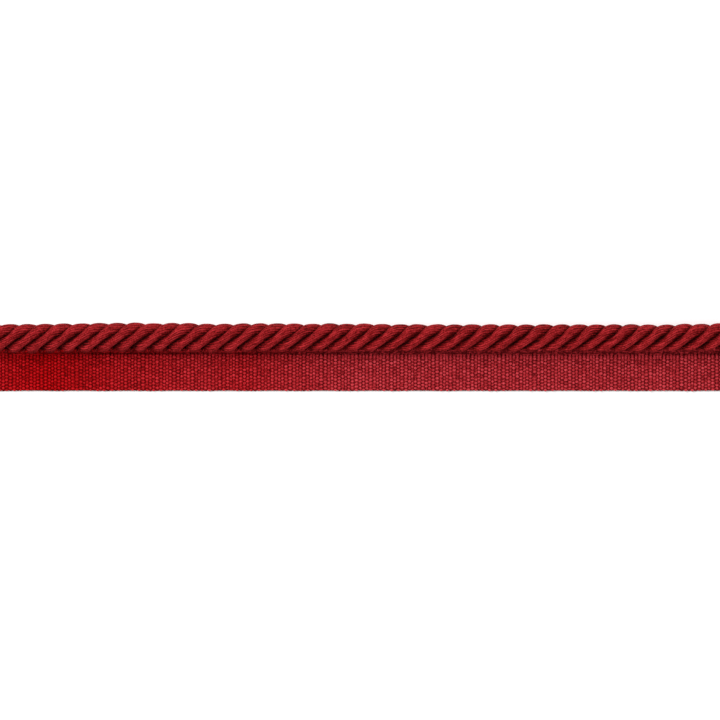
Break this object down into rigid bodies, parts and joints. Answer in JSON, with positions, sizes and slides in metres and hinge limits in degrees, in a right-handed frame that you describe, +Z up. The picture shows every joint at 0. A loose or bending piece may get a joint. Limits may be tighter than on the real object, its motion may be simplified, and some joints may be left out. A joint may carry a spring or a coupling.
{
  "type": "cut length of flanged twisted cord",
  "caption": "Straight cut length of soft crimson twisted cord with a ribbed woven tape along its underside, for sewing into a seam.",
  "frame": {"origin": "below the middle of the whole length, at the level that the cord's underside and the tape rest on", "axes": "+X along the cord, +Y from the tape's free edge towards the cord, +Z up, away from the surface it lies on"},
  "size_m": [0.256, 0.0227, 0.0096],
  "materials": {
    "cord_yarn": "matte soft yarn",
    "tape_weave": "matte ribbed weave"
  },
  "bodies": {
    "root": {"cord": "cord_yarn", "lip_tape": "tape_weave"}
  },
  "joints": []
}
